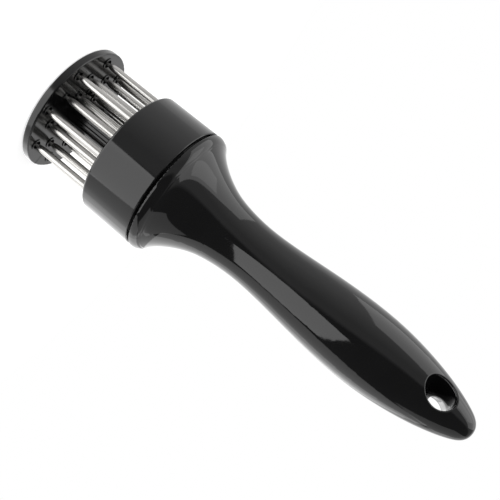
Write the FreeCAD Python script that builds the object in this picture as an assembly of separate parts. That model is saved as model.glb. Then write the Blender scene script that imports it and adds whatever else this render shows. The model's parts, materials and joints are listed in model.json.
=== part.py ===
"""Needle meat tenderizer: a long moulded handle, a drum head that holds two rings of steel
needles, and a sprung guard plate that slides back over the needles when it is pressed.

Millimetres.  The tool stands on its guard plate: the origin is the centre of the guard's outer
face, +Z runs along the tool's axis to the end of the handle, and the hanging eye is bored
along Y.
"""
import FreeCAD, Part
import math
import os

os.makedirs("parts", exist_ok=True)

Vector = FreeCAD.Vector
Z_AXIS = Vector(0, 0, 1)
ORIGIN = Vector(0, 0, 0)

# ---------------------------------------------------------------- driving sizes
# Head: collar, guard plate and handle flange line up on the same outside
collar_radius = 27.1
collar_draft = 0.2               # how much wider the collar is at its rear edge
flange_overhang = 0.15           # handle flange outside the collar's rear edge
guard_overhang = 0.3             # guard plate outside the collar's front edge

# Guard plate
guard_thickness = 3.3
guard_edge_round = 0.6
guard_hole_radius = 1.8
hole_rim_width = 0.6
hole_rim_height = 0.35
rinsing_ring_land = 3.6          # from the guide post to the centres of the open rinsing holes
rinsing_ring_count = 8
seam_angle = 27.0                # fine moulded seam across the rim of the guard's inner face
seam_length = 6.0
seam_width = 0.35
seam_depth = 0.25

# Needles
needle_radius = 1.5
needle_pin_radius = 0.6
needle_point_length = 1.2        # sharpened cone at the very tip
needle_pin_length = 3.6          # slim pin between the cone and the taper
needle_taper_length = 4.2        # ogive from the pin to the full body
needle_taper_bulge = 0.28        # how far the ogive stands out from a straight cone
needle_tip_depth = 1.4           # how deep the tip rests inside the guard plate
needle_head_radius = 1.95
needle_head_height = 1.2
outer_ring_inset = 4.2           # from the collar's outside to the needles' centres
outer_ring_count = 8
outer_ring_angle = 0.0
ring_spacing = 6.15
inner_ring_count = 8
inner_ring_angle = 22.5

# Collar: the drum that carries the needles
guard_gap = 27.8                 # free needle length between the guard and the collar
collar_length = 23.6
collar_wall = 2.0
collar_front_round = 1.1
collar_rear_round = 0.5
web_recess = 1.5
web_thickness = 5.0
needle_hole_clearance = 0.04
head_channel_clearance = 0.1     # needle heads in their ring-shaped channel

# Needle backing plate, clamped between the needle heads and the handle's spigot
backing_thickness = 2.0

# Handle
groove_width = 1.2               # dark seam between the collar and the handle flange
flange_front_round = 0.3
flange_crown_round = 4.4
handle_length = 144.1            # from the flange's front face to the end of the grip
# Control points of the grip's outline: those by the head are placed from the flange,
# and those by the end are placed from the end of the grip
crown_flat_width = 0.75          # flat ring between the flange's crown round and the neck
root_fillet_width = 0.55
root_fillet_height = 0.3
shoulder_radius = 17.8
shoulder_offset = 10.1
throat_radius = 14.25
throat_offset = 20.1
neck_radius = 10.9
neck_offset = 39.1
palm_radius = 14.55
palm_offset = 69.1
swell_radius = 16.15
swell_from_end = 45.0
taper_radius = 12.0
taper_from_end = 20.0
nose_radius = 7.4
nose_from_end = 6.0
end_flat_radius = 4.0
eye_from_end = 18.5
eye_half_length = 6.9            # half of the hanging eye along the handle
eye_half_width = 5.7             # half of the hanging eye across the handle
eye_edge_round = 0.5

# Guide post of the guard plate and its return spring
travel_end_gap = 0.8             # left between guard and collar when the guard is pushed right back
post_radius = 6.2
post_seat_depth = 0.8
post_foot_chamfer = 0.4
post_flange_lip = 1.8            # how far the top flange stands out of the post
post_flange_thickness = 2.4
stop_washer_thickness = 1.0
spring_washer_thickness = 0.8
spring_washer_lip = 1.2          # how far the washer reaches inside the coil
spring_wire_radius = 0.6
spring_wire_sides = 6            # flats that the wire's round is drawn with
spring_side_gap = 0.8            # between the coil and the handle's bore
spring_open_turns = 6
spring_closed_turns = 1          # at each end
closed_turn_gap = 0.1
spring_reserve = 6.0             # free length left in the spring at full travel

# Fasteners
guard_screw_radius = 1.9
guard_screw_head_radius = 3.7
guard_screw_length = 14.0
guard_screw_inset = 0.3
guard_screw_edge_height = 0.2    # straight edge of the countersunk head
guard_screw_slot_length = 4.4
head_screw_radius = 1.45
head_screw_head_radius = 2.6
head_screw_head_height = 2.4
head_screw_length = 18.0
head_screw_slot_length = 3.6
head_screw_land = 3.6            # from the handle's bore to the screws' centres
head_screw_count = 4
head_screw_angle = 45.0
drive_slot_width = 0.8
drive_slot_depth = 1.2

# Clearances
running_clearance = 0.06         # guide post in the collar's bush
loose_clearance = 0.4            # guide post through the plates that don't guide it
seat_clearance = 0.15            # plates and spigot inside the collar, washers inside the bore
slide_clearance = 0.3            # post flange and spring inside the handle's bore
screw_clearance = 0.05
screw_end_clearance = 1.0        # hole left beyond a screw's end
cutter_overrun = 5.0             # how far the eye's cutter stands out of the grip

# ---------------------------------------------------------------- radii worked out
guard_radius = collar_radius + guard_overhang
collar_rear_radius = collar_radius + collar_draft
flange_radius = collar_rear_radius + flange_overhang
crown_centre_radius = flange_radius - flange_crown_round
neck_root_radius = crown_centre_radius - crown_flat_width
collar_bore_radius = collar_radius - collar_wall
spigot_radius = collar_bore_radius - seat_clearance
outer_ring_radius = collar_radius - outer_ring_inset
inner_ring_radius = outer_ring_radius - ring_spacing
post_flange_radius = post_radius + post_flange_lip
handle_bore_radius = post_flange_radius + slide_clearance
head_screw_ring_radius = handle_bore_radius + head_screw_land
rinsing_ring_radius = post_radius + rinsing_ring_land
post_bush_radius = post_radius + running_clearance
post_passage_radius = post_radius + loose_clearance
spring_coil_radius = handle_bore_radius - spring_side_gap - spring_wire_radius  # to the wire's centre
spring_washer_bore_radius = spring_coil_radius - spring_wire_radius - spring_washer_lip

# ---------------------------------------------------------------- stations along the axis
guard_travel = guard_gap - travel_end_gap
collar_front_z = guard_thickness + guard_gap
collar_rear_z = collar_front_z + collar_length
web_front_z = collar_front_z + web_recess
web_rear_z = web_front_z + web_thickness
backing_rear_z = web_rear_z + backing_thickness
flange_front_z = collar_rear_z + groove_width
handle_end_z = flange_front_z + handle_length
eye_z = handle_end_z - eye_from_end

stop_washer_top_z = backing_rear_z + stop_washer_thickness
post_top_z = stop_washer_top_z + post_flange_thickness
spring_seat_z = post_top_z + spring_washer_thickness
spring_turns = spring_open_turns + 2 * spring_closed_turns
spring_solid_length = 2 * spring_wire_radius * (spring_turns + 1)
bore_end_z = spring_seat_z + guard_travel + spring_solid_length + spring_reserve


# ---------------------------------------------------------------- helpers
def point(radius, z):
    """A point of a turned profile."""
    return Vector(radius, 0, z)


def line(start, end):
    return Part.LineSegment(start, end).toShape()


def arc(start, middle, end):
    return Part.Arc(start, middle, end).toShape()


def corner_arc(centre, radius, from_degrees, to_degrees):
    """A round of a turned profile; 0 degrees points outwards and 90 degrees points up."""
    def on_arc(degrees):
        angle = math.radians(degrees)
        return centre + Vector(radius * math.cos(angle), 0, radius * math.sin(angle))
    return arc(on_arc(from_degrees), on_arc((from_degrees + to_degrees) / 2), on_arc(to_degrees))


def polygon(points):
    """Straight edges through the points, left open."""
    return [line(a, b) for a, b in zip(points, points[1:])]


def turned(edges):
    """A solid of revolution about the tool's axis from a closed run of edges."""
    face = Part.Face(Part.Wire(edges))
    solid = face.revolve(ORIGIN, Z_AXIS, 360)
    if solid.Volume < 0:
        solid.reverse()
    return solid


def cylinder(radius, low_z, high_z, centre=ORIGIN):
    return Part.makeCylinder(radius, high_z - low_z, Vector(centre.x, centre.y, low_z), Z_AXIS)


def washer(inner_radius, outer_radius, low_z, high_z):
    return cylinder(outer_radius, low_z, high_z).cut(cylinder(inner_radius, low_z, high_z))


def ring_places(radius, count, first_angle):
    """Centres evenly spaced around the tool's axis."""
    places = []
    for index in range(count):
        angle = math.radians(first_angle + index * 360.0 / count)
        places.append(Vector(radius * math.cos(angle), radius * math.sin(angle), 0))
    return places


def moved(shape, offset):
    copy = shape.copy()
    copy.translate(offset)
    return copy


def save(name, shape):
    shape.exportStep("parts/" + name + ".step")


outer_places = ring_places(outer_ring_radius, outer_ring_count, outer_ring_angle)
inner_places = ring_places(inner_ring_radius, inner_ring_count, inner_ring_angle)
rinsing_places = ring_places(rinsing_ring_radius, rinsing_ring_count, outer_ring_angle)
screw_places = ring_places(head_screw_ring_radius, head_screw_count, head_screw_angle)


# ---------------------------------------------------------------- handle
def handle_outline():
    """Outside of the handle, from the flange's front face to the end of the grip."""
    crown_centre = point(crown_centre_radius, flange_front_z + flange_front_round)
    front_centre = point(flange_radius - flange_front_round, flange_front_z + flange_front_round)
    crown_top_z = crown_centre.z + flange_crown_round
    neck_root = point(neck_root_radius, crown_top_z)
    control_points = [
        neck_root,
        point(neck_root_radius - root_fillet_width, crown_top_z + root_fillet_height),
        point(shoulder_radius, flange_front_z + shoulder_offset),
        point(throat_radius, flange_front_z + throat_offset),
        point(neck_radius, flange_front_z + neck_offset),
        point(palm_radius, flange_front_z + palm_offset),
        point(swell_radius, handle_end_z - swell_from_end),
        point(taper_radius, handle_end_z - taper_from_end),
        point(nose_radius, handle_end_z - nose_from_end),
        point(end_flat_radius, handle_end_z),
        point(0, handle_end_z),
    ]
    grip = Part.BSplineCurve()
    grip.buildFromPoles(control_points, False, 3)
    return [
        line(point(spigot_radius, flange_front_z), point(front_centre.x, flange_front_z)),
        corner_arc(front_centre, flange_front_round, -90, 0),
        corner_arc(crown_centre, flange_crown_round, 0, 90),
        line(point(crown_centre.x, crown_top_z), neck_root),
        grip.toShape(),
    ]


def make_handle():
    bore_edges = polygon([
        point(0, handle_end_z),
        point(0, bore_end_z),
        point(handle_bore_radius, bore_end_z),
        point(handle_bore_radius, backing_rear_z),
        point(spigot_radius, backing_rear_z),
        point(spigot_radius, flange_front_z),
    ])
    handle = turned(handle_outline() + bore_edges)
    screw_hole_end_z = web_front_z + head_screw_length + screw_end_clearance
    for place in screw_places:
        handle = handle.cut(cylinder(head_screw_radius + screw_clearance, backing_rear_z,
                                     screw_hole_end_z, place))
    return cut_hanging_eye(handle)


def cut_hanging_eye(handle):
    """Oval eye right through the end of the handle, with softly rounded mouths."""
    half_depth = swell_radius + cutter_overrun
    oval = Part.Ellipse(Vector(0, -half_depth, eye_z + eye_half_length),
                        Vector(eye_half_width, -half_depth, eye_z),
                        Vector(0, -half_depth, eye_z))
    tool = Part.Face(Part.Wire(oval.toShape())).extrude(Vector(0, 2 * half_depth, 0))
    bored = handle.cut(tool)
    return bored.makeFillet(eye_edge_round, eye_mouths(bored))


def eye_mouths(bored_handle):
    """The curved edges of the eye's wall, which is the handle's only extruded surface."""
    walls = [face for face in bored_handle.Faces
             if face.Surface.TypeId == "Part::GeomSurfaceOfExtrusion"]
    return [edge for wall in walls for edge in wall.Edges if not isinstance(edge.Curve, Part.Line)]


# ---------------------------------------------------------------- head
def make_collar():
    """Drum with a web that carries the needles and guides the post."""
    front_centre = point(collar_radius - collar_front_round, collar_front_z + collar_front_round)
    rear_centre = point(collar_rear_radius - collar_rear_round, collar_rear_z - collar_rear_round)
    edges = [
        corner_arc(front_centre, collar_front_round, -90, 0),
        line(point(collar_radius, front_centre.z), point(collar_rear_radius, rear_centre.z)),
        corner_arc(rear_centre, collar_rear_round, 0, 90),
    ]
    edges += polygon([
        point(rear_centre.x, collar_rear_z),
        point(collar_bore_radius, collar_rear_z),
        point(collar_bore_radius, web_rear_z),
        point(post_bush_radius, web_rear_z),
        point(post_bush_radius, web_front_z),
        point(collar_bore_radius, web_front_z),
        point(collar_bore_radius, collar_front_z),
        point(front_centre.x, collar_front_z),
    ])
    collar = turned(edges)
    head_low_z = web_rear_z - needle_head_height
    channel_half_width = needle_head_radius + head_channel_clearance
    cuts = [washer(radius - channel_half_width, radius + channel_half_width, head_low_z, web_rear_z)
            for radius in (outer_ring_radius, inner_ring_radius)]
    for place in outer_places + inner_places:
        cuts.append(cylinder(needle_radius + needle_hole_clearance, web_front_z, head_low_z, place))
    for place in screw_places:
        cuts.append(cylinder(head_screw_radius + screw_clearance, web_front_z, web_rear_z, place))
        cuts.append(cylinder(head_screw_head_radius + screw_clearance, web_front_z,
                             web_front_z + head_screw_head_height, place))
    return collar.cut(Part.makeCompound(cuts))


def make_backing_plate():
    plate = washer(post_passage_radius, collar_bore_radius - seat_clearance, web_rear_z, backing_rear_z)
    for place in screw_places:
        plate = plate.cut(cylinder(head_screw_radius + screw_clearance, web_rear_z, backing_rear_z, place))
    return plate


def make_needle():
    """One needle on the axis: cone point, slim pin, ogive taper, round body and upset head."""
    tip_z = guard_thickness - needle_tip_depth
    pin_low_z = tip_z + needle_point_length
    pin_high_z = pin_low_z + needle_pin_length
    body_low_z = pin_high_z + needle_taper_length
    head_low_z = web_rear_z - needle_head_height
    taper_middle = point((needle_pin_radius + needle_radius) / 2 + needle_taper_bulge,
                         (pin_high_z + body_low_z) / 2)
    edges = polygon([
        point(0, web_rear_z),
        point(0, tip_z),
        point(needle_pin_radius, pin_low_z),
        point(needle_pin_radius, pin_high_z),
    ])
    edges.append(arc(point(needle_pin_radius, pin_high_z), taper_middle, point(needle_radius, body_low_z)))
    edges += polygon([
        point(needle_radius, body_low_z),
        point(needle_radius, head_low_z),
        point(needle_head_radius, head_low_z),
        point(needle_head_radius, web_rear_z),
        point(0, web_rear_z),
    ])
    return turned(edges)


def make_head_screws():
    """Four screws that pull the collar and the backing plate onto the handle's spigot."""
    head_top_z = web_front_z + head_screw_head_height
    head = cylinder(head_screw_head_radius, web_front_z, head_top_z)
    shank = cylinder(head_screw_radius, head_top_z, web_front_z + head_screw_length)
    screw = head.fuse(shank).cut(drive_cross(head_screw_slot_length, web_front_z))
    return Part.makeCompound([moved(screw, place) for place in screw_places])


def drive_cross(length, low_z):
    """Cutter for the cross recess in a screw's head."""
    bars = []
    for size_x, size_y in ((length, drive_slot_width), (drive_slot_width, length)):
        bars.append(Part.makeBox(size_x, size_y, drive_slot_depth, Vector(-size_x / 2, -size_y / 2, low_z)))
    return bars[0].fuse(bars[1])


# ---------------------------------------------------------------- guard and its guide
def make_guard_plate():
    """Round plate with a rimmed hole for every needle and a ring of open rinsing holes."""
    low_centre = point(guard_radius - guard_edge_round, guard_edge_round)
    high_centre = point(guard_radius - guard_edge_round, guard_thickness - guard_edge_round)
    edges = [
        line(point(0, 0), point(low_centre.x, 0)),
        corner_arc(low_centre, guard_edge_round, -90, 0),
        line(point(guard_radius, low_centre.z), point(guard_radius, high_centre.z)),
        corner_arc(high_centre, guard_edge_round, 0, 90),
        line(point(high_centre.x, guard_thickness), point(0, guard_thickness)),
        line(point(0, guard_thickness), point(0, 0)),
    ]
    plate = turned(edges)
    hole_places = outer_places + inner_places + rinsing_places
    rims = [cylinder(guard_hole_radius + hole_rim_width, guard_thickness / 2,
                     guard_thickness + hole_rim_height, place) for place in hole_places]
    plate = plate.fuse(rims).removeSplitter()
    cuts = [cylinder(guard_hole_radius, 0, guard_thickness + hole_rim_height, place)
            for place in hole_places]
    cuts.append(cylinder(post_radius + screw_clearance, guard_thickness - post_seat_depth,
                         guard_thickness))
    cuts.append(countersunk_screw(screw_clearance, guard_thickness))
    cuts.append(moulded_seam())
    return plate.cut(Part.makeCompound(cuts))


def moulded_seam():
    """Cutter for the fine radial seam at the rim of the guard plate's inner face."""
    corner = Vector(guard_radius - seam_length, -seam_width / 2, guard_thickness - seam_depth)
    seam = Part.makeBox(seam_length, seam_width, seam_depth, corner)
    seam.rotate(ORIGIN, Z_AXIS, seam_angle)
    return seam


def countersunk_screw(growth, high_z):
    """Outline of the guard screw, grown all round to make its own hole."""
    head_radius = guard_screw_head_radius + growth
    shank_radius = guard_screw_radius + growth
    head_low_z = 0 if growth else guard_screw_inset
    straight_z = guard_screw_inset + guard_screw_edge_height
    cone_z = straight_z + head_radius - shank_radius
    return turned(polygon([
        point(0, head_low_z),
        point(head_radius, head_low_z),
        point(head_radius, straight_z),
        point(shank_radius, cone_z),
        point(shank_radius, high_z),
        point(0, high_z),
        point(0, head_low_z),
    ]))


def make_guard_screw():
    screw = countersunk_screw(0, guard_screw_inset + guard_screw_length)
    return screw.cut(drive_cross(guard_screw_slot_length, guard_screw_inset))


def make_guide_post():
    """Post that stands in the guard plate, runs in the collar's bush and stops on its top flange."""
    foot_z = guard_thickness - post_seat_depth
    post = turned(polygon([
        point(0, foot_z),
        point(post_radius - post_foot_chamfer, foot_z),
        point(post_radius, foot_z + post_foot_chamfer),
        point(post_radius, stop_washer_top_z),
        point(post_flange_radius, stop_washer_top_z),
        point(post_flange_radius, post_top_z),
        point(0, post_top_z),
        point(0, foot_z),
    ]))
    return post.cut(countersunk_screw(screw_clearance,
                                      guard_screw_inset + guard_screw_length + screw_end_clearance))


def make_return_spring():
    """Compression spring between the post's washer and the blind end of the handle's bore.

    The wire is laid up from half turns.  Each tilts about Y the other way from the one before it,
    and they meet square to the XZ plane, so the wire runs on smoothly.
    """
    closed_rise = spring_wire_radius + closed_turn_gap / 2
    closed_halves = 2 * spring_closed_turns
    open_halves = 2 * spring_open_turns
    wire_low_z = spring_seat_z + spring_wire_radius
    wire_high_z = bore_end_z - spring_wire_radius
    open_rise = (wire_high_z - wire_low_z - 2 * closed_halves * closed_rise) / open_halves
    end_rises = [closed_rise] * closed_halves
    halves = []
    side = 1
    for rise in end_rises + [open_rise] * open_halves + end_rises:
        halves.append(spring_half_turn(wire_low_z, rise, side))
        wire_low_z += rise
        side = -side
    return halves[0].fuse(halves[1:])


def spring_half_turn(low_z, rise, side):
    """Half a turn of wire that starts at low_z on the +X or -X side and climbs by rise."""
    corners = []
    for number in range(spring_wire_sides):
        angle = 2 * math.pi * (number + 0.5) / spring_wire_sides
        corners.append(point(side * spring_coil_radius + spring_wire_radius * math.cos(angle),
                             low_z + spring_wire_radius * math.sin(angle)))
    section = Part.Face(Part.makePolygon(corners + corners[:1]))
    centre = Vector(0, 0, low_z + rise / 2)
    tilted_axis = Vector(side * rise, 0, 2 * spring_coil_radius)
    return section.revolve(centre, tilted_axis, 180)


save("handle", make_handle())
save("collar", make_collar())
save("needle_backing_plate", make_backing_plate())
save("head_screws", make_head_screws())
needle = make_needle()
for ring_name, places in (("outer", outer_places), ("inner", inner_places)):
    for number, place in enumerate(places, start=1):
        save("needle_{}_{}".format(ring_name, number), moved(needle, place))
save("stop_washer", washer(post_passage_radius, handle_bore_radius - seat_clearance,
                           backing_rear_z, stop_washer_top_z))
save("guard_plate", make_guard_plate())
save("guard_screw", make_guard_screw())
save("guide_post", make_guide_post())
save("spring_washer", washer(spring_washer_bore_radius, post_flange_radius - seat_clearance,
                             post_top_z, spring_seat_z))
save("return_spring", make_return_spring())
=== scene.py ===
"""Looks of the needle meat tenderizer: finishes, fitted pieces, studio and camera around the CAD model.

Metres, in the part's own frame: the tool stands on its guard plate at z = 0, +Z runs along it to
the end of the handle, and the hanging eye is bored along Y.
"""
import json
import math

import bmesh
import bpy
from mathutils import Matrix, Vector, geometry


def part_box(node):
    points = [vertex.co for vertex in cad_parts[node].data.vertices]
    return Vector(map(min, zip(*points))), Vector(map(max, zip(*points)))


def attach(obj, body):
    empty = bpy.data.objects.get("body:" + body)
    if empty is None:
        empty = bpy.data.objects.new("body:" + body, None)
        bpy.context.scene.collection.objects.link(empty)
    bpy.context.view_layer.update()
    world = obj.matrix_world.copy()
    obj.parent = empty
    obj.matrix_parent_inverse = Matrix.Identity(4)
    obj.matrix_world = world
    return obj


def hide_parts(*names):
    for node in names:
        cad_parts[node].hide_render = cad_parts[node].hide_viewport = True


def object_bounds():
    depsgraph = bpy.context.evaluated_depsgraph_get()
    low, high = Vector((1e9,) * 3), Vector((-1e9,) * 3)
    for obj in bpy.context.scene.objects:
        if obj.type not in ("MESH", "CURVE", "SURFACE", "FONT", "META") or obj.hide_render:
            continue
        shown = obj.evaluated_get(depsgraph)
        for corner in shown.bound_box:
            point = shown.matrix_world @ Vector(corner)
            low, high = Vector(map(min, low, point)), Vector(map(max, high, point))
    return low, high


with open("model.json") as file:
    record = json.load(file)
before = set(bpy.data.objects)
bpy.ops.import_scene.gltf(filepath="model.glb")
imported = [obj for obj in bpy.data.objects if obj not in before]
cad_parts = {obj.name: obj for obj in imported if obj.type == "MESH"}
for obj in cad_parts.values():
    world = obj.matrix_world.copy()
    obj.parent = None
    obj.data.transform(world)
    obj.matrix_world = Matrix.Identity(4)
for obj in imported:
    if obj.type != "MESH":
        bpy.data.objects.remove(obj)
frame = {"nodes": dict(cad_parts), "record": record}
cad_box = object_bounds()
nodes = frame["nodes"]
scene = bpy.context.scene

# ---------------------------------------------------------------- camera sizes
FRAME_PIXELS = 500
FOCAL_PIXELS = 950                                   # focal length in pixels of the 500-pixel frame
SENSOR_WIDTH = 36.0
CLIP_RANGE = (0.01, 20.0)
CAMERA_PLACE = Vector((0.16403, -0.31913, 0.15754))
CAMERA_TARGET = Vector((-0.007542, 0.013233, 0.090503))
CAMERA_UP = Vector((-0.63633, -0.45371, -0.62388))   # the tool lies head first to the upper left

# ---------------------------------------------------------------- sizes of the fitted pieces
ROUND_STEPS = 128                # steps around the tool's axis or the eye
SHARP_ANGLE = 40                 # degrees between faces above which an edge stays sharp
MERGE_DISTANCE = 0.0000001
RAY_START = 0.1                  # distance from the tool's axis at which a ray onto the handle starts

NEEDLE_STEPS = 32
NEEDLE_RADIUS = 0.0015
NEEDLE_PIN_RADIUS = 0.0006
NEEDLE_POINT = 0.0012            # length of the cone at the tip
NEEDLE_PIN = 0.0004              # length of the slim pin
NEEDLE_TAPER = 0.0085            # length of the taper from the pin to the full body
TAPER_FULLNESS = 0.34            # where along the taper its swelling is strongest
TAPER_STEPS = 14
NEEDLE_HEAD_RADIUS = 0.00195
NEEDLE_HEAD_HEIGHT = 0.0012
CORE_NEEDLES = 4                 # they stand in line with every other rinsing hole of the guard plate
CORE_RING_RADIUS = 0.0098

CROWN_ROUND = 0.0044             # radius of the round on the handle's flange
CROWN_CENTRE_HEIGHT = 0.0562
CROWN_SWEEP = 58                 # degrees of the round that stay bare before the fairing leaves it
FAIRING_END_HEIGHT = 0.080       # where the fairing runs into the neck
FAIRING_START_PULL = 0.0045      # how strongly the fairing keeps to the round's slope where it starts
FAIRING_END_PULL = 0.0085        # and to the neck's slope where it ends
FAIRING_STEPS = 24
SLOPE_REACH = 0.001              # height above and below a place over which the neck's slope is taken
HIDDEN_START_RUN = 0.0006        # the fairing's first edge lies this far back along the round
HIDDEN_START_DEPTH = 0.00032     # and this deep in it
HIDDEN_END_RUN = 0.0015          # its last edge lies this far on along the neck
HIDDEN_END_DEPTH = 0.00016       # and this deep in it
BACK_INSET = 0.004               # its back lies this far inside the centre of the flange's round
BACK_RISE = 0.00264              # and this far above it

EYE_CENTRE = Vector((0, 0, 0.1815))
EYE_HALF_SIZE = (0.0057, 0.0069)         # half width and half length of the bored eye
MOUTH_GROWTH = 1.1                       # the mouth's depth is taken on an oval larger by this
MOUTH_DEPTH = 0.0007                     # the throat starts this far under the mouth
EYE_DEPTH_STEPS = 14
THROAT_CENTRE = Vector((0, 0, 0.1838))
THROAT_HALF_SIZE = (0.0030, 0.0038)      # half width and half length of its narrowest place
THROAT_ROUND = 0.10                      # softness of the narrowest place, as a share of the depth
THROAT_BACK_GROWTH = 1.05                # the throat's back is an oval larger than the eye by this
THROAT_BACK_REACH = 0.97                 # and reaches this share of the way to the mouths

# ---------------------------------------------------------------- light
WHITE = 1.0                      # what the world shows to the lens and in reflections
AMBIENT = 0.55                   # even light that it gives to everything else
LIGHT_DISTANCE = 1.0
# A softbox stands where from_lens puts off_axis and clock, lean turns it on its own axis, and level is
# the brightness of its face.
SOFTBOXES = {
    "left_softbox": dict(off_axis=63, clock=167, width=1.7, height=1.22, lean=-53, level=2.2),
    "low_card": dict(off_axis=122, clock=213, width=2.2, height=1.6, lean=-50, level=1.0),
    "flange_card": dict(off_axis=93, clock=-85, width=0.67, height=0.85, lean=-33, level=0.62),
    "right_softbox": dict(off_axis=89, clock=13, width=1.1, height=1.7, lean=0, level=1.15),
    "right_core": dict(off_axis=81, clock=10, width=0.5, height=0.6, lean=0, level=0.7),
}
ROOM_RADIUS = 1.5
ROOM_FINENESS = 5                # subdivisions of the room's sphere
ROOM_REACH = 114                 # degrees around the camera's side that the dim room covers
DARK_MIDDLE = (52, -108)         # its darkest direction, as from_lens takes it
DARK_EDGE = (60, 68)             # degrees from there over which it turns from dark to side level
OVERHEAD_EDGE = (85, 130)        # degrees from there over which it rises to its overhead level
DARK_LEVEL = 0.12
SIDE_LEVEL = 0.44
OVERHEAD_RISE = 0.4              # how much lighter than the sides the room is overhead
FLOOR_RADIUS = 0.22
FLOOR_STEPS = 96
FLOOR_GREY = 0.85
FLOOR_LIFT = 0.58                # keeps the floor white to the lens but for the tool's faint shadow
FLOOR_DROP = 0.0002              # keeps the floor just clear of the guard plate's face

camera_back = (CAMERA_PLACE - CAMERA_TARGET).normalized()
camera_right = CAMERA_UP.cross(camera_back).normalized()
camera_up = camera_back.cross(camera_right)
object_centre = (cad_box[0] + cad_box[1]) / 2


# ---------------------------------------------------------------- node helpers
class Graph:
    """Node tree of a material or a world, with short calls for the nodes that this script uses."""

    def __init__(self, owner, output="ShaderNodeOutputMaterial"):
        owner.use_nodes = True
        self.tree = owner.node_tree
        self.tree.nodes.clear()
        self.output = self.add(output)

    def add(self, kind, **settings):
        node = self.tree.nodes.new(kind)
        for key, value in settings.items():
            setattr(node, key, value)
        return node

    def join(self, source, target):
        self.tree.links.new(source, target)

    def show(self, shader):
        """Sends a shader node to the output."""
        self.join(shader.outputs[0], self.output.inputs["Surface"])

    def place(self, stretch):
        """Object coordinates stretched by one factor an axis."""
        coordinates = self.add("ShaderNodeTexCoord")
        mapping = self.add("ShaderNodeMapping")
        mapping.inputs["Scale"].default_value = stretch
        self.join(coordinates.outputs["Object"], mapping.inputs["Vector"])
        return mapping.outputs["Vector"]

    def noise(self, scale, stretch=(1.0, 1.0, 1.0), detail=3.0, roughness=0.5):
        texture = self.add("ShaderNodeTexNoise")
        texture.inputs["Scale"].default_value = scale
        texture.inputs["Detail"].default_value = detail
        texture.inputs["Roughness"].default_value = roughness
        self.join(self.place(stretch), texture.inputs["Vector"])
        return texture.outputs["Fac"]

    def between(self, value, low, high, start=0.3, end=0.7):
        """Maps value from start..end, where most of a noise lies, onto low..high."""
        node = self.add("ShaderNodeMapRange")
        node.inputs["From Min"].default_value = start
        node.inputs["From Max"].default_value = end
        node.inputs["To Min"].default_value = low
        node.inputs["To Max"].default_value = high
        self.join(value, node.inputs["Value"])
        return node.outputs["Result"]

    def tint(self, noise, dark, light):
        """Mixes two colours by a noise."""
        node = self.add("ShaderNodeMix", data_type="RGBA")
        node.inputs["A"].default_value = (*dark, 1.0)
        node.inputs["B"].default_value = (*light, 1.0)
        self.join(self.between(noise, 0.0, 1.0), node.inputs["Factor"])
        return node.outputs["Result"]

    def bump(self, height, distance):
        node = self.add("ShaderNodeBump")
        node.inputs["Distance"].default_value = distance
        self.join(height, node.inputs["Height"])
        return node.outputs["Normal"]

    def principled(self, colour, roughness, normal, **constants):
        """Principled shader on the output; constants, such as IOR=1.5, go on its own sockets."""
        shader = self.add("ShaderNodeBsdfPrincipled")
        for socket, value in constants.items():
            shader.inputs[socket].default_value = value
        self.join(colour, shader.inputs["Base Color"])
        self.join(roughness, shader.inputs["Roughness"])
        self.join(normal, shader.inputs["Normal"])
        self.show(shader)

    def seen_ray(self):
        """1 for camera, glossy and transmission rays, and 0 for the rest."""
        path = self.add("ShaderNodeLightPath")
        total = path.outputs["Is Camera Ray"]
        for kind in ("Is Glossy Ray", "Is Transmission Ray"):
            larger = self.add("ShaderNodeMath", operation="MAXIMUM")
            self.join(total, larger.inputs[0])
            self.join(path.outputs[kind], larger.inputs[1])
            total = larger.outputs[0]
        return total


# ---------------------------------------------------------------- finishes
def gloss_black(name, dark, light, smoothest, roughest, peel):
    """Polished black moulding: faint tone drift, handled sheen and the slight peel of a moulded face."""
    material = bpy.data.materials.new(name)
    graph = Graph(material)
    drift = graph.noise(60.0, detail=4.0)
    smear = graph.noise(140.0, stretch=(1.0, 1.0, 0.45), detail=5.0, roughness=0.6)
    ripple = graph.noise(420.0, detail=2.0)
    graph.principled(graph.tint(drift, dark, light), graph.between(smear, smoothest, roughest),
                     graph.bump(ripple, peel), IOR=1.5)
    return material


def drawn_steel(name, dark, light, smoothest, roughest, grain):
    """Polished wire with fine drawing lines along its length."""
    material = bpy.data.materials.new(name)
    graph = Graph(material)
    soft = graph.noise(420.0, stretch=(1.0, 1.0, 0.05), detail=2.0)
    lines = graph.noise(2600.0, stretch=(1.0, 1.0, 0.012), roughness=0.65)
    graph.principled(graph.tint(soft, dark, light), graph.between(lines, smoothest, roughest),
                     graph.bump(lines, grain), Metallic=1.0)
    return material


def brushed_steel(name, dark, light, smoothest=0.22, roughest=0.42, grain=0.00002):
    """Stamped sheet or turned screw: brushed across, with dulled patches."""
    material = bpy.data.materials.new(name)
    graph = Graph(material)
    patches = graph.noise(170.0, detail=4.0)
    brush = graph.noise(900.0, stretch=(0.06, 1.0, 1.0), roughness=0.6)
    graph.principled(graph.tint(patches, dark, light), graph.between(brush, smoothest, roughest),
                     graph.bump(brush, grain), Metallic=1.0)
    return material


def matt_rubber(name, dark, light, smoothest=0.6, roughest=0.85, grain=0.00003):
    """Rubber with a blotched bloom and a fine grain."""
    material = bpy.data.materials.new(name)
    graph = Graph(material)
    bloom = graph.noise(220.0, detail=5.0)
    speckle = graph.noise(1500.0, detail=2.0)
    graph.principled(graph.tint(bloom, dark, light), graph.between(bloom, smoothest, roughest),
                     graph.bump(speckle, grain), IOR=1.52)
    return material


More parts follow.
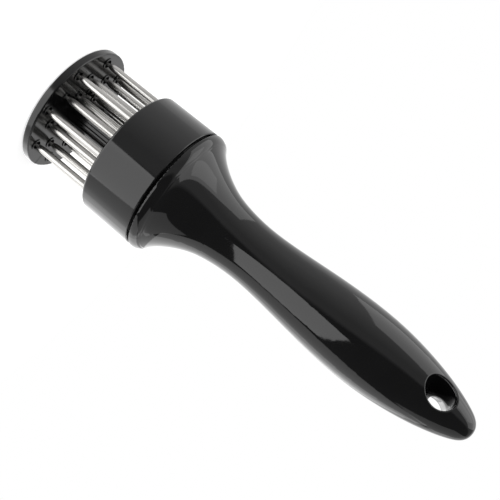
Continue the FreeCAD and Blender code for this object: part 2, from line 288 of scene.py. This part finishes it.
FINISHES = {
    "handle_plastic": gloss_black("handle_black_abs", dark=(0.0026, 0.0026, 0.0028),
                                  light=(0.0042, 0.0042, 0.0044),
                                  smoothest=0.045, roughest=0.075, peel=0.0000025),
    "collar_plastic": gloss_black("collar_black_abs", dark=(0.0030, 0.0030, 0.0032),
                                  light=(0.0048, 0.0048, 0.0050),
                                  smoothest=0.055, roughest=0.085, peel=0.000002),
    "guard_plastic": gloss_black("guard_black_abs", dark=(0.0028, 0.0028, 0.0030),
                                 light=(0.0044, 0.0044, 0.0046),
                                 smoothest=0.11, roughest=0.17, peel=0.000002),
    "post_plastic": gloss_black("post_black_acetal", dark=(0.0035, 0.0035, 0.0036),
                                light=(0.0055, 0.0055, 0.0056),
                                smoothest=0.10, roughest=0.16, peel=0.000004),
    "needle_steel": drawn_steel("needle_polished_steel", dark=(0.42, 0.41, 0.395),
                                light=(0.60, 0.59, 0.57),
                                smoothest=0.20, roughest=0.36, grain=0.000014),
    "spring_steel": drawn_steel("spring_wire_steel", dark=(0.50, 0.50, 0.50),
                                light=(0.64, 0.64, 0.63),
                                smoothest=0.22, roughest=0.38, grain=0.00001),
    "plate_steel": brushed_steel("backing_sheet_steel", dark=(0.55, 0.55, 0.55),
                                 light=(0.68, 0.68, 0.67)),
    "screw_steel": brushed_steel("screw_bright_steel", dark=(0.60, 0.60, 0.60),
                                 light=(0.74, 0.73, 0.72)),
    "washer_steel": brushed_steel("washer_sheet_steel", dark=(0.52, 0.52, 0.52),
                                  light=(0.66, 0.66, 0.66)),
    "washer_rubber": matt_rubber("stop_washer_rubber", dark=(0.012, 0.012, 0.012),
                                 light=(0.03, 0.03, 0.029)),
}


def dress_nodes():
    """Gives every CAD node the finish of its slot in the record."""
    for part in frame["record"]["subparts"]:
        mesh = nodes[part["node"]].data
        finish = FINISHES[part["material_slot"]]
        if not mesh.materials:
            mesh.materials.append(finish)
        for index in range(len(mesh.materials)):
            mesh.materials[index] = finish


# ---------------------------------------------------------------- pieces that ride on the handle
def full_turn(steps):
    return [2 * math.pi * step / steps for step in range(steps)]


def circle_at(radius, height, steps=ROUND_STEPS):
    return [Vector((radius * math.cos(turn), radius * math.sin(turn), height))
            for turn in full_turn(steps)]


def eye_oval(centre, half_size, turn):
    """Point of an upright oval across the eye."""
    return centre + Vector((half_size[0] * math.cos(turn), 0, half_size[1] * math.sin(turn)))


def skinned_mesh(name, sections, slot, ring=True):
    """Skin through rows of the same number of points; a ring also runs from the last row to the first."""
    mesh = bpy.data.meshes.new(name)
    shape = bmesh.new()
    rows = [[shape.verts.new(place) for place in section] for section in sections]
    following_rows = rows[1:] + rows[:1] if ring else rows[1:]
    for row, following in zip(rows, following_rows):
        for step in range(len(row)):
            after = (step + 1) % len(row)
            shape.faces.new((row[step], row[after], following[after], following[step]))
    bmesh.ops.remove_doubles(shape, verts=shape.verts, dist=MERGE_DISTANCE)
    bmesh.ops.recalc_face_normals(shape, faces=shape.faces)
    for face in shape.faces:
        face.smooth = True
    for edge in shape.edges:
        edge.smooth = edge.calc_face_angle() < math.radians(SHARP_ANGLE)
    shape.to_mesh(mesh)
    shape.free()
    mesh.materials.append(FINISHES[slot])
    return mesh


def handle_piece(name, mesh, place=(0, 0, 0)):
    piece = bpy.data.objects.new(name, mesh)
    piece.location = place
    scene.collection.objects.link(piece)
    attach(piece, "handle_body")
    return piece


def handle_surface(start, direction):
    """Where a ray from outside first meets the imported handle."""
    found, place, _, _ = nodes["handle"].ray_cast(start, direction)
    if not found:
        raise ValueError("the ray misses the handle")
    return place


def neck_outline(height):
    """Radius and height of the neck's surface at a height."""
    place = handle_surface(Vector((RAY_START, 0, height)), Vector((-1, 0, 0)))
    return Vector((place.x, height))


def make_needle_mesh():
    """Needle about its own axis: cone point, short pin, long bullet taper, round body and head."""
    low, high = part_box("needle_outer_1")
    pin_low = low.z + NEEDLE_POINT
    pin_high = pin_low + NEEDLE_PIN
    head_low = high.z - NEEDLE_HEAD_HEIGHT
    swelling = Vector((NEEDLE_RADIUS, pin_high + NEEDLE_TAPER * TAPER_FULLNESS))
    full = Vector((NEEDLE_RADIUS, pin_high + NEEDLE_TAPER))
    taper = geometry.interpolate_bezier(Vector((NEEDLE_PIN_RADIUS, pin_high)), swelling, swelling, full,
                                        TAPER_STEPS)
    outline = [Vector((0, low.z)), Vector((NEEDLE_PIN_RADIUS, pin_low)), *taper,
               Vector((NEEDLE_RADIUS, head_low)), Vector((NEEDLE_HEAD_RADIUS, head_low)),
               Vector((NEEDLE_HEAD_RADIUS, high.z)), Vector((0, high.z))]
    sections = [circle_at(place.x, place.y, NEEDLE_STEPS) for place in outline]
    return skinned_mesh("needle", sections, "needle_steel", ring=False)


def add_needles():
    """Needles with a long taper in place of the solids, and the four about the guide post."""
    mesh = make_needle_mesh()
    for part in frame["record"]["subparts"]:
        if part["material_slot"] == "needle_steel":
            low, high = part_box(part["node"])
            middle = (low + high) / 2
            place = (middle.x, middle.y, 0)
            needle = handle_piece("turned_" + part["node"], mesh, place)
            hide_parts(part["node"])
    for number, place in enumerate(circle_at(CORE_RING_RADIUS, 0, CORE_NEEDLES), start=1):
        handle_piece(f"needle_core_{number}", mesh, place)


def add_flange_fairing():
    """Smooth run from the flange's round into the neck, over the solid's stepped root."""
    crown_centre = Vector((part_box("handle")[1].x - CROWN_ROUND, CROWN_CENTRE_HEIGHT))
    sweep = math.radians(CROWN_SWEEP)
    start = crown_centre + Vector((math.cos(sweep), math.sin(sweep))) * CROWN_ROUND
    leaving = Vector((-math.sin(sweep), math.cos(sweep)))
    inward = Vector((-math.cos(sweep), -math.sin(sweep)))
    end = neck_outline(FAIRING_END_HEIGHT)
    above = neck_outline(FAIRING_END_HEIGHT + SLOPE_REACH)
    below = neck_outline(FAIRING_END_HEIGHT - SLOPE_REACH)
    arriving = (above - below).normalized()
    curve = geometry.interpolate_bezier(start, start + leaving * FAIRING_START_PULL,
                                        end - arriving * FAIRING_END_PULL, end, FAIRING_STEPS)
    hidden_start = start - leaving * HIDDEN_START_RUN + inward * HIDDEN_START_DEPTH
    hidden_end = end + arriving * HIDDEN_END_RUN - Vector((HIDDEN_END_DEPTH, 0))
    back = crown_centre + Vector((-BACK_INSET, BACK_RISE))
    sections = [circle_at(place.x, place.y) for place in (hidden_start, *curve, hidden_end, back)]
    mesh = skinned_mesh("flange_fairing", sections, "handle_plastic")
    handle_piece("flange_fairing", mesh)


def throat_narrowing(share):
    """How far the throat has narrowed at a share of the depth: 0 at the mouths, 1 in the middle."""
    mouth = math.hypot(1, THROAT_ROUND)
    return (mouth - math.hypot(share, THROAT_ROUND)) / (mouth - THROAT_ROUND)


def add_eye_throat():
    """Drafted wall of the hanging eye, which narrows to half its depth from either mouth."""
    along = Vector((0, 1, 0))
    eye = [eye_oval(EYE_CENTRE, EYE_HALF_SIZE, turn) for turn in full_turn(ROUND_STEPS)]
    throat = [eye_oval(THROAT_CENTRE, THROAT_HALF_SIZE, turn) for turn in full_turn(ROUND_STEPS)]
    mouths = []
    for place in eye:
        outside = EYE_CENTRE.lerp(place, MOUTH_GROWTH) - along * RAY_START
        depth = -handle_surface(outside, along).y - MOUTH_DEPTH
        mouths.append(along * depth)
    sections = []
    for step in range(-EYE_DEPTH_STEPS, EYE_DEPTH_STEPS + 1):
        share = step / EYE_DEPTH_STEPS
        narrowing = throat_narrowing(share)
        sections.append([wide.lerp(narrow, narrowing) + mouth * share
                         for wide, narrow, mouth in zip(eye, throat, mouths)])
    for share in (THROAT_BACK_REACH, -THROAT_BACK_REACH):
        sections.append([EYE_CENTRE.lerp(wide, THROAT_BACK_GROWTH) + mouth * share
                         for wide, mouth in zip(eye, mouths)])
    mesh = skinned_mesh("eye_throat", sections, "handle_plastic")
    handle_piece("eye_throat", mesh)


# ---------------------------------------------------------------- studio
def from_lens(off_axis, clock):
    """Direction off_axis degrees away from the camera's side, turned clock degrees up from its right."""
    off = math.radians(off_axis)
    turn = math.radians(clock)
    across = camera_right * math.cos(turn) + camera_up * math.sin(turn)
    return camera_back * math.cos(off) + across * math.sin(off)


def turned_at(place, right, up, back):
    """Matrix that puts an object at a place, with its X, Y and Z along three directions."""
    return Matrix.Translation(place) @ Matrix((right, up, back)).transposed().to_4x4()


def add_softbox(name, off_axis, clock, width, height, lean, level):
    """Rectangular light that faces the middle of the tool."""
    away = from_lens(off_axis, clock)
    upright = camera_up - camera_up.dot(away) * away
    up = (Matrix.Rotation(math.radians(lean), 3, away) @ upright).normalized()
    light = bpy.data.lights.new(name, "AREA")
    light.shape = "RECTANGLE"
    light.size = width
    light.size_y = height
    light.energy = level * math.pi * width * height
    lamp = bpy.data.objects.new(name, light)
    lamp.matrix_world = turned_at(object_centre + away * LIGHT_DISTANCE, up.cross(away), up, away)
    scene.collection.objects.link(lamp)


def add_world():
    """White to the lens and in reflections, and an even ambient light on everything else."""
    scene.world = bpy.data.worlds.new("studio_world")
    graph = Graph(scene.world, "ShaderNodeOutputWorld")
    mix = graph.add("ShaderNodeMixShader")
    graph.join(graph.seen_ray(), mix.inputs["Fac"])
    for socket, strength in ((1, AMBIENT), (2, WHITE)):
        background = graph.add("ShaderNodeBackground")
        background.inputs["Color"].default_value = (1.0, 1.0, 1.0, 1.0)
        background.inputs["Strength"].default_value = strength
        graph.join(background.outputs[0], mix.inputs[socket])
    graph.show(mix)


def stage_object(name, shape, place, material):
    mesh = bpy.data.meshes.new(name)
    shape.to_mesh(mesh)
    shape.free()
    mesh.materials.append(material)
    piece = bpy.data.objects.new(name, mesh)
    piece.location = place
    scene.collection.objects.link(piece)
    return piece


def floor_material():
    """Pale grey that is lifted to white for the lens."""
    material = bpy.data.materials.new("pale_floor")
    graph = Graph(material)
    diffuse = graph.add("ShaderNodeBsdfDiffuse")
    diffuse.inputs["Color"].default_value = (FLOOR_GREY, FLOOR_GREY, FLOOR_GREY, 1.0)
    lift = graph.add("ShaderNodeEmission")
    shown = graph.between(graph.seen_ray(), 0.0, FLOOR_LIFT, start=0.0, end=1.0)
    graph.join(shown, lift.inputs["Strength"])
    both = graph.add("ShaderNodeAddShader")
    graph.join(diffuse.outputs[0], both.inputs[0])
    graph.join(lift.outputs[0], both.inputs[1])
    graph.show(both)
    return material


def add_floor():
    """Round pale floor, darker only where the tool shades it."""
    shape = bmesh.new()
    bmesh.ops.create_circle(shape, cap_ends=True, segments=FLOOR_STEPS, radius=FLOOR_RADIUS)
    place = (object_centre.x, object_centre.y, cad_box[0].z - FLOOR_DROP)
    floor = stage_object("floor", shape, place, floor_material())
    floor.visible_glossy = False     # metal and gloss show the world, room and softboxes instead


def room_material():
    """Glow by direction: darkest towards DARK_MIDDLE, lighter to the sides and lightest overhead."""
    material = bpy.data.materials.new("dim_room")
    graph = Graph(material)
    coordinates = graph.add("ShaderNodeTexCoord")
    angle = graph.add("ShaderNodeVectorMath", operation="DOT_PRODUCT")
    angle.inputs[1].default_value = from_lens(*DARK_MIDDLE) / ROOM_RADIUS
    graph.join(coordinates.outputs["Object"], angle.inputs[0])
    level = graph.add("ShaderNodeMath", operation="ADD")
    for socket, low, high, edge in ((0, DARK_LEVEL, SIDE_LEVEL, DARK_EDGE),
                                    (1, 0.0, OVERHEAD_RISE, OVERHEAD_EDGE)):
        start, end = (math.cos(math.radians(turn)) for turn in edge)
        graph.join(graph.between(angle.outputs["Value"], low, high, start, end), level.inputs[socket])
    glow = graph.add("ShaderNodeEmission")
    graph.join(level.outputs[0], glow.inputs["Strength"])
    graph.show(glow)
    return material


def add_dim_room():
    """Dimly glowing room around the camera's side, which only shows in reflections."""
    shape = bmesh.new()
    bmesh.ops.create_icosphere(shape, subdivisions=ROOM_FINENESS, radius=ROOM_RADIUS)
    edge = math.cos(math.radians(ROOM_REACH))
    beyond = [face for face in shape.faces
              if face.calc_center_median().normalized().dot(camera_back) < edge]
    bmesh.ops.delete(shape, geom=beyond, context="FACES")
    room = stage_object("dim_room", shape, object_centre, room_material())
    for ray in ("camera", "diffuse", "transmission", "volume_scatter", "shadow"):
        setattr(room, "visible_" + ray, False)


def add_camera():
    data = bpy.data.cameras.new("camera")
    data.sensor_width = SENSOR_WIDTH
    data.lens = SENSOR_WIDTH * FOCAL_PIXELS / FRAME_PIXELS
    data.clip_start, data.clip_end = CLIP_RANGE
    camera = bpy.data.objects.new("camera", data)
    camera.matrix_world = turned_at(CAMERA_PLACE, camera_right, camera_up, camera_back)
    scene.collection.objects.link(camera)
    scene.camera = camera


dress_nodes()
add_needles()
add_flange_fairing()
add_eye_throat()
add_world()
add_floor()
add_dim_room()
for box_name, box_settings in SOFTBOXES.items():
    add_softbox(box_name, **box_settings)
add_camera()
scene.view_settings.view_transform = "Standard"
